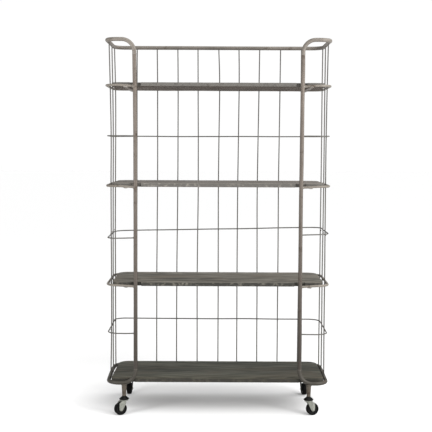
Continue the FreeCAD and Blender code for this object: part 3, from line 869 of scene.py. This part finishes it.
# Boards. Four boards, each glued up from three planks of a hard wood, stained grey and worn. Their rims are
# eased by hand, and a notch clears each post. They are held by the screws through the straps.
board_thickness = 0.019
board_half_width = 0.535
board_front_y = front_y + 0.008
bottom_side_front_y = front_y + 0.012
board_back_y = front_y + 0.38495
board_corner_radius = 0.050
bottom_corner_radius = 0.031
board_edge = 0.0016
notch_half_width = 0.027
notch_depth = 0.015
notch_corner_radius = 0.004
bottom_step_x = 0.418
bottom_side_outsets = {-1: (0.0065, -0.0015), 1: (0.0075, 0.0050)}
# Painted shade on the front of the bottom board's top: its share and its depth.
bottom_front_painted_shade = 0.50
bottom_front_depth = 0.090
plank_width = 0.126
board_grid_x = 0.036
board_grid_y = 0.021
board_hollow = 0.0005
board_hollow_scale = 9
board_rim_wear = 0.0004
board_wear_scale = 45
board_flat_share = 0.01
board_rim_share = 0.02
board_shift = Vector((2.37, 0.61, 0.29))
# The fourth colour of each board is its rim's: rim wear, and painted shade on the edge faces of the lower
# boards.
board_stains_and_rim_shades = (
    ((0.085, 0.085, 0.065), (0.014, 0.014, 0.011), (0.056, 0.046, 0.032), (0.026, 0.026, 0.022)),
    ((0.184, 0.171, 0.143), (0.038, 0.036, 0.029), (0.115, 0.089, 0.064), (0.028, 0.027, 0.023)),
    ((0.245, 0.226, 0.200), (0.090, 0.081, 0.071), (0.162, 0.129, 0.100), (0.092, 0.087, 0.079)),
    ((0.112, 0.106, 0.099), (0.033, 0.029, 0.025), (0.068, 0.052, 0.039), (0.118, 0.112, 0.102)),
)
board_stain_shares = ((0.50, 0.5, 1.0), (0.50, 0.6, 1.0), (0.40, 0.5, 1.0), (0.35, 0.5, 0.9))


def board_outline(notched):
    """A board's plan outline, turning to the left. The bottom board has steps and no notches."""
    corners = []
    outer_x, inner_x = post_x + notch_half_width, post_x - notch_half_width
    notch_y = board_front_y + notch_depth
    for side in (-1, 1):
        if notched:
            half = [(board_half_width, board_back_y, board_corner_radius),
                    (board_half_width, board_front_y, board_corner_radius),
                    (outer_x, board_front_y, 0), (outer_x, notch_y, notch_corner_radius),
                    (inner_x, notch_y, notch_corner_radius), (inner_x, board_front_y, 0)]
        else:
            front_outset, back_outset = bottom_side_outsets[side]
            half = [(board_half_width + back_outset, board_back_y, board_corner_radius),
                    (board_half_width + front_outset, bottom_side_front_y, bottom_corner_radius),
                    (bottom_step_x, bottom_side_front_y, 0), (bottom_step_x, board_front_y, 0)]
        corners += [(side * x, y, radius) for x, y, radius in half[::-side]]
    return soft_outline(corners)


def gridded(form, step_x, step_y):
    """The mesh cut through at even steps along X and Y, so that its flat faces have inner points."""
    points, faces, _ = form
    cut = bmesh.new()
    verts = [cut.verts.new(point) for point in points]
    for face in faces:
        cut.faces.new([verts[corner] for corner in face])
    for axis, step in ((0, step_x), (1, step_y)):
        low_end = min(point[axis] for point in points)
        high_end = max(point[axis] for point in points)
        normal = Vector((1, 0, 0)) if axis == 0 else Vector((0, 1, 0))
        for number in range(1, round((high_end - low_end) / step)):
            parts = list(cut.verts) + list(cut.edges) + list(cut.faces)
            bmesh.ops.bisect_plane(cut, geom=parts, dist=1e-6, plane_co=normal * (low_end + number * step),
                                   plane_no=normal)
    return mesh_data(cut)


def worn_board(form, bottom, seed):
    """The board's mesh with a slightly hollowed top and nibbled rims."""
    points, faces, _ = form
    shift = Vector((seed, 3 * seed, 0))
    worn = []
    for point in points:
        rise = (point.z - bottom) / board_thickness
        hollow = max(noise.noise(point * board_hollow_scale + shift), 0) * board_hollow
        nibble = noise.noise_vector(point * board_wear_scale + shift) * board_rim_wear
        if rise <= 1 - board_flat_share:
            hollow = 0
        if rise < board_flat_share:
            nibble = Vector((0, 0, 0))
        worn.append(point + Vector((nibble.x, nibble.y, -hollow)))
    return worn, faces


def build_board_wood():
    """Stained wood in glued planks: rings, fibres, patches, knots, glue lines, rim wear and painted shade."""
    group, enter, leave = start_group("board_wood", ("Light", "Dark", "Patch", "Rim Wear And Shade"),
                                      ("Ring Share", "Patch Share", "Rim Share"))
    place = attribute(group, "straight")["Vector"]
    plank = calculated("DIVIDE", coordinates(place)["Y"], plank_width)
    luck = add_node(group, "TexWhiteNoise", {"W": calculated("FLOOR", plank)}, noise_dimensions="1D").outputs
    log = add_node(group, "VectorMath", {0: luck["Color"], 1: (7.0, 0.35, 0.05), 2: place},
                   operation="MULTIPLY_ADD").outputs["Vector"]
    log_x, log_y, log_z = coordinates(log)
    wander = speckle(stretched(log, (1.6, 5.0, 5.0)), 1.0, 2.0, 0.5)
    across = calculated("PINGPONG", log_y, 0.09)
    depth = plus(log_z, times(calculated("PINGPONG", log_x, 0.55), 0.03))
    depth = plus(depth, times(wander, 0.018))
    pith = calculated("SQRT", plus(times(across, across), times(depth, depth)))
    ring_wave = calculated("FRACT", times(pith, 170.0))
    rings = spread(calculated("PINGPONG", ring_wave, 0.8), 0.2, 1.0)
    fibre = speckle(stretched(log, (6.0, 420.0, 420.0)), 1.0, 4.0, 0.6)
    streak = speckle(stretched(log, (1.5, 45.0, 45.0)), 1.0, 4.0, 0.6)
    cloud = speckle(stretched(log, (2.2, 7.0, 7.0)), 1.0, 3.0, 0.5)
    patches = speckle(stretched(log, (3.5, 14.0, 14.0)), 1.0, 4.0, 0.6, 0.6)
    tone = times(rings, enter["Ring Share"])
    for part in (times(spread(streak, 0.35, 0.65), 0.45), times(spread(fibre, 0.35, 0.65), 0.22),
                 spread(cloud, 0.3, 0.7, -0.2, 0.25), spread(luck["Value"], 0.0, 1.0, -0.12, 0.12)):
        tone = plus(tone, part)
    tone = add_node(group, "Clamp", {"Value": tone}).outputs["Result"]
    color = mix_colors(tone, enter["Light"], enter["Dark"])
    color = mix_colors(times(spread(patches, 0.50, 0.66), enter["Patch Share"]), color, enter["Patch"])
    knot = add_node(group, "TexVoronoi", {"Vector": stretched(log, (2.3, 6.0, 6.0)), "Scale": 1.0})
    knot_share = times(spread(knot.outputs["Distance"], 0.075, 0.045), 0.75)
    color = mix_colors(knot_share, color, enter["Dark"])
    seam = calculated("ABSOLUTE", minus(calculated("FRACT", plank), 0.5))
    seam = spread(seam, 0.494, 0.4975)
    color = mix_colors(times(seam, 0.55), color, enter["Dark"])
    rim = times(attribute(group, "rim")["Fac"], spread(speckle(place, 60.0, 3.0, 0.6), 0.25, 0.48))
    color = mix_colors(times(rim, enter["Rim Share"]), color, enter["Rim Wear And Shade"])
    # Painted shade: the shade mark darkens and browns the boards' undersides and the front of the bottom
    # board's top.
    shade = attribute(group, "shade")["Fac"]
    color = mix_colors(shade, color, (0.90, 0.78, 0.71, 1), "MULTIPLY")
    rough = plus(spread(tone, 0.0, 1.0, 0.50, 0.66), spread(shade, 0.0, 1.0, 0.0, 0.34))
    height = minus(minus(times(fibre, 0.5), times(rings, 0.35)), times(seam, 0.8))
    set_inputs(leave, {"Color": color, "Roughness": rough, "Height": height})
    return group


board_wood = build_board_wood()
for number, (board_bottom, stain, shares) in enumerate(zip(strap_tops, board_stains_and_rim_shades, board_stain_shares), 1):
    finish = grouped_material("board_stain_%d" % number, board_wood, stain + shares, specular=0.20,
                              bump_strength=0.4, bump_depth=0.0004)
    slab = slab_mesh(board_outline(number > 1), board_bottom, board_bottom + board_thickness, board_edge)
    slab = gridded(slab, board_grid_x, board_grid_y)
    start = Vector((0, board_front_y, board_bottom))
    places = [tuple(point - start + board_shift * number) for point in slab[0]]
    board = piece("board_plank_%d" % number, (*worn_board(slab, board_bottom, 3.1 * number), places), finish,
                  ["board_%d" % number])
    rises = [(point.z - board_bottom) / board_thickness for point in slab[0]]
    marks = {"rim": [float(board_rim_share < rise < 1 - board_rim_share) for rise in rises],
             "shade": [float(rise < board_rim_share) for rise in rises]}
    # Painted shade towards the front of the bottom board's top.
    if number == 1:
        nearness = [1 - (point.y - board_front_y) / bottom_front_depth for point in slab[0]]
        marks["shade"] = [max(shade, bottom_front_painted_shade * min(max(near, 0), 1))
                          for shade, near in zip(marks["shade"], nearness)]
    for mark, values in marks.items():
        board.data.attributes.new(mark, "FLOAT", "POINT")
        board.data.attributes[mark].data.foreach_set("value", values)


# Legs. Four short tapered tubes are welded under the bottom hoop, two at the front and two at the back.
# They widen to the top. Their finish is like the frame's, painted darker towards the floor as painted shade,
# and the rear legs have a darker copy of it, painted shade where the rack shades them.
leg_foot = 0.096
leg_top = 0.157
leg_foot_radius = 0.010
leg_top_radius = 0.0129
leg_flare = 0.0007
leg_sides = 28
leg_bead_height = leg_top - 0.004
leg_bead_size = (0.0022, 0.005)
leg_finish_front = metal_material("leg_finish_front", (0.165, 0.152, 0.126), (0.056, 0.045, 0.034),
                                  (0.036, 0.024, 0.016), 30.0, 0.6, 0.85, 0.30, 0.20)
# Painted shade: the rear legs' finish is a darker copy of the front legs' finish.
rear_leg_painted_shade = metal_material("rear_leg_painted_shade", (0.050, 0.044, 0.036), (0.022, 0.018, 0.014),
                                 (0.016, 0.011, 0.008), 30.0, 0.6, 0.85, 0.30, 0.10)
leg_waist_radius = 0.4 * leg_foot_radius + 0.6 * leg_top_radius
leg_outline = [(0, leg_top), (leg_top_radius - 0.002, leg_top), (leg_top_radius + leg_flare, leg_top - 0.002),
               (leg_top_radius, leg_top - 0.008), (leg_waist_radius, leg_top - 0.026),
               (leg_foot_radius + 0.0004, leg_foot + 0.012), (leg_foot_radius, leg_foot + 0.001),
               (leg_foot_radius - 0.001, leg_foot), (0, leg_foot)]
caster_places = ("front_left", "front_right", "rear_left", "rear_right")
joint_points = {joint["name"]: Vector(joint["pos_m"]) for joint in frame["joints"]}
leg_stands = {}
leg_welds = []
for place in caster_places:
    pivot = joint_points["swivel_" + place]
    leg_stands[place] = Matrix.Translation((pivot.x, pivot.y, 0))
    finish = leg_finish_front if place.startswith("front") else rear_leg_painted_shade
    leg = moved(turned_mesh(leg_outline, leg_sides), leg_stands[place])
    piece("leg_tube_" + place, leg, finish, ["leg_" + place])
    bead_centre = (pivot.x, pivot.y, leg_bead_height)
    leg_welds.append(weld_ring(bead_centre, (0, 0, 1), leg_top_radius, *leg_bead_size, pivot.x))
piece("leg_weld_beads", joined(leg_welds), weld_finish)


# Swivel caps. A turned steel cone with a rolled rim covers each caster's ball race. It is painted black,
# and dust has dulled it a little.
cap_sides = 40
cap_outline = [
    (0.0052, 0.0958), (0.0102, 0.0958), (0.0110, 0.0950), (0.0114, 0.0936), (0.0128, 0.0920),
    (0.0170, 0.0884), (0.0225, 0.0838), (0.0243, 0.0818), (0.0250, 0.0808), (0.0250, 0.0799),
    (0.0245, 0.0795), (0.0234, 0.0796), (0.0228, 0.0806), (0.0195, 0.0822), (0.0052, 0.0824),
]


def build_dusty_black():
    """A black surface with cloudy dust, scuffs and fine pits."""
    group, enter, leave = start_group("dusty_black", ("Base", "Dust"),
                                      ("Dust Share", "Scale", "Smooth", "Rough"))
    place = add_node(group, "TexCoord").outputs["Object"]
    cloud = speckle(place, enter["Scale"], 5.0, 0.5)
    pits = speckle(place, 900.0, 2.0, 0.5)
    dust = times(spread(cloud, 0.42, 0.70), enter["Dust Share"])
    color = mix_colors(dust, enter["Base"], enter["Dust"])
    rough = spread(cloud, 0.35, 0.65, enter["Smooth"], enter["Rough"])
    height = plus(times(pits, 0.5), times(cloud, 0.5))
    set_inputs(leave, {"Color": color, "Roughness": rough, "Height": height})
    return group


dusty_black = build_dusty_black()


def black_material(name, *values):
    """Dusty black from a base and a dust colour, the dust's share and scale, and a roughness range."""
    return grouped_material(name, dusty_black, values, specular=0.06, bump_strength=0.3, bump_depth=0.0002)


cap_paint = black_material("cap_paint", (0.004, 0.004, 0.004), (0.040, 0.038, 0.034), 0.2, 60.0, 0.35, 0.5)
for place in caster_places:
    cap = moved(turned_mesh(cap_outline, cap_sides, closed=True), leg_stands[place])
    piece("cap_cone_" + place, cap, cap_paint, ["swivel_cap_" + place])


# Forks. Each fork is pressed from steel sheet: a round crown with a stepped shoulder, and two side plates
# with two pressed ribs each, which run down to the axle's eyes. They are zinc plated, and the rear ones get
# a nearly black copy of the zinc, painted shade for where they stand under the rack.
axle_height = 0.0315
fork_trail = 0.020
fork_inner_y = 0.0143
fork_outer_y = 0.0168
fork_eye_radius = 0.010
fork_front_x = -0.0055
fork_shoulder_height = 0.062
fork_plate_top = 0.0740
fork_back_top_x = 0.0152
plate_edge = 0.0006
plate_ribs = (
    ((0.0000, 0.0655), (0.0125, 0.0425), 0.0026, 0.0014),
    ((0.0155, 0.0655), (0.0200, 0.0455), 0.0022, 0.0012),
)
front_skirt = 0.0722
rear_skirt = 0.0670
crown_sides = 44
fork_zinc = metal_material("fork_zinc", (0.25, 0.255, 0.225), (0.075, 0.077, 0.066),
                           (0.05, 0.047, 0.038), 130.0, 0.6, 0.0, 0.35, 0.4)
# Painted shade: a nearly black copy of the zinc, for the rear forks.
fork_painted_shade = metal_material("fork_painted_shade", (0.040, 0.040, 0.036), (0.015, 0.015, 0.013),
                           (0.012, 0.010, 0.008), 130.0, 0.6, 0.0, 0.35, 0.2)


def crown_outline(skirt):
    """A crown's section, from the top over the shoulder to the end of its skirt, and its boss underneath."""
    return [
        (0.0051, 0.0772), (0.0108, 0.0772), (0.0118, 0.0779), (0.0172, 0.0779), (0.0182, 0.0773),
        (0.0196, 0.0768), (0.0206, 0.0758), (0.0210, 0.0748), (0.0210, skirt + 0.0010),
        (0.0206, skirt + 0.0002), (0.0196, skirt), (0.0184, skirt + 0.0003), (0.0180, skirt + 0.0009),
        (0.0180, 0.0738), (0.0172, 0.0743), (0.0130, 0.0742), (0.0122, 0.0670), (0.0112, 0.0640),
        (0.0051, 0.0640),
    ]


def plate_outline():
    """A side plate's outline, turning to the left. X runs towards the wheel, and Y is the height."""
    eye = Vector((fork_trail, axle_height))
    shoulder = Vector((fork_front_x, fork_shoulder_height))
    reach = eye - shoulder
    slope = math.atan2(reach.y, reach.x) - math.asin(fork_eye_radius / reach.length)
    start = slope - math.pi / 2
    steps = round(-start / outline_step)
    angles = [start * (1 - step / steps) for step in range(steps + 1)]
    return [Vector((fork_front_x, fork_plate_top)), shoulder,
            *(eye + Vector((math.cos(angle), math.sin(angle))) * fork_eye_radius for angle in angles),
            Vector((fork_trail + fork_eye_radius, fork_shoulder_height)),
            Vector((fork_back_top_x, fork_plate_top))]


def pressed_rib(start, end, half_width, proud):
    """A long rounded rib between two points of a plate's outer face."""
    along = end - start
    lump = bmesh.new()
    bmesh.ops.create_icosphere(lump, subdivisions=3, radius=1.0)
    turn = Vector((0, 0, 1)).rotation_difference(along.normalized()).to_matrix()
    middle = (start + end) / 2
    for vert in lump.verts:
        swell = Vector((vert.co.x * half_width, vert.co.y * proud, vert.co.z * along.length / 2))
        vert.co = middle + turn @ swell
    return mesh_data(lump)


def caster_stand(place):
    """The matrix that takes a caster built towards +X to its leg and its resting direction."""
    trail = joint_points["wheel_spin_" + place] - joint_points["swivel_" + place]
    return leg_stands[place] @ Matrix.Rotation(math.atan2(trail.y, trail.x), 4, "Z")


upright = Matrix.Rotation(math.pi / 2, 4, "X")
plates = []
for side in (-1, 1):
    low_y, high_y = sorted((-side * fork_inner_y, -side * fork_outer_y))
    plates.append(moved(slab_mesh(plate_outline(), low_y, high_y, plate_edge, 2), upright))
    for *ends, half_width, proud in plate_ribs:
        start, end = [Vector((x, side * fork_outer_y, height)) for x, height in ends]
        plates.append(pressed_rib(start, end, half_width, proud))
for place in caster_places:
    front = place.startswith("front")
    finish = fork_zinc if front else fork_painted_shade
    crown = turned_mesh(crown_outline(front_skirt if front else rear_skirt), crown_sides, closed=True)
    body = "caster_fork_" + place
    for title, form, nodes in (("crown", crown, ()), ("pressing", joined(plates), ["fork_" + place])):
        form = moved(form, caster_stand(place))
        piece("fork_%s_%s" % (title, place), form, finish, nodes, body)


# Axle rivets. One long rivet of plated steel goes through both plates and the wheel's sleeve. Its ends are
# pressed into domed heads, which show outside the plates.
rivet_outline = [
    (0, 0.0029), (0.0014, 0.0030), (0.0020, 0.0035), (0.0034, 0.0034), (0.0050, 0.0026), (0.0062, 0.0012),
    (0.0065, 0.0002), (0.0065, -0.0002), (0.0040, -0.0003), (0.0040, -0.0040), (0, -0.0040),
]
rivet_steel = metal_material("rivet_steel", (0.25, 0.25, 0.225), (0.12, 0.12, 0.105),
                             (0.08, 0.065, 0.05), 120.0, 0.4, 0.0, 0.0, 0.6)
heads = []
for side in (-1, 1):
    face = Matrix.Translation((fork_trail, side * fork_outer_y, axle_height))
    turn = Matrix.Rotation(-side * math.pi / 2, 4, "X")
    heads.append(moved(turned_mesh(rivet_outline), face @ turn))
for place in caster_places:
    piece("rivet_heads_" + place, moved(joined(heads), caster_stand(place)), rivet_steel,
          ["axle_rivet_" + place], "caster_fork_" + place)


# Wheels. A hub moulded from black plastic, with six ribs a side, runs on the sleeve. It carries a tyre of
# solid rubber with two fine grooves in its tread.
hub_half = [
    (0.0062, 0.0135), (0.0094, 0.0135), (0.0100, 0.0129), (0.0103, 0.0052), (0.0112, 0.0041),
    (0.0160, 0.0040), (0.0168, 0.0048), (0.0172, 0.0104), (0.0178, 0.0110), (0.0219, 0.0110),
]
tyre_half = [
    (0.0220, 0.0114), (0.0232, 0.0122), (0.0262, 0.0125), (0.0282, 0.0121), (0.0300, 0.0109),
    (0.0311, 0.0093), (0.03145, 0.0076), (0.0315, 0.0052), (0.0309, 0.0048), (0.0309, 0.0042),
    (0.0315, 0.0038),
]
hub_rib_count = 6
hub_rib_corners = [(0.0098, -0.0008, 0), (0.0176, -0.0008, 0), (0.0176, 0.0008, 0), (0.0098, 0.0008, 0)]
hub_rib_reach = 0.0092
hub_rib_edge = 0.0003
wheel_sides = 64
hub_plastic = black_material("hub_moulding", (0.008, 0.008, 0.008), (0.05, 0.05, 0.045), 0.20, 50.0, 0.4, 0.6)
tyre_rubber = black_material("tyre_compound", (0.002, 0.002, 0.002), (0.030, 0.028, 0.025), 0.06, 35.0, 0.5,
                             0.75)
axle = Matrix.Translation((fork_trail, 0, axle_height)) @ upright


def wheel_mesh(half):
    """A form turned about the axle from one half of its closed section."""
    other_half = [(radius, -height) for radius, height in reversed(half)]
    return turned_mesh(half + other_half, wheel_sides, closed=True)


hub_parts = [wheel_mesh(hub_half)]
tyre_form = wheel_mesh(tyre_half)
hub_rib = slab_mesh(soft_outline(hub_rib_corners), -hub_rib_reach, hub_rib_reach, hub_rib_edge, 2)
for number in range(hub_rib_count):
    hub_parts.append(moved(hub_rib, Matrix.Rotation(2 * math.pi * number / hub_rib_count, 4, "Z")))
for place in caster_places:
    wheel_stand = caster_stand(place) @ axle
    body = "caster_wheel_" + place
    piece("hub_moulding_" + place, moved(joined(hub_parts), wheel_stand), hub_plastic,
          ["wheel_hub_" + place], body)
    piece("tyre_ring_" + place, moved(tyre_form, wheel_stand), tyre_rubber,
          ["tyre_" + place], body)


# Inner steel of the casters. The kingpins, race balls and axle sleeves lie inside and keep their plain
# shapes. Their steel is bright, because grease keeps the rust off.
bright_steel = metal_material("bright_steel", (0.62, 0.61, 0.58), (0.38, 0.37, 0.34),
                              (0.20, 0.16, 0.11), 150.0, 0.3, 0.0, 0.0, 0.9)
for place in caster_places:
    for title in ("kingpin_", "swivel_balls_", "axle_sleeve_"):
        for holder in frame["nodes"][title + place].material_slots:
            holder.material = bright_steel
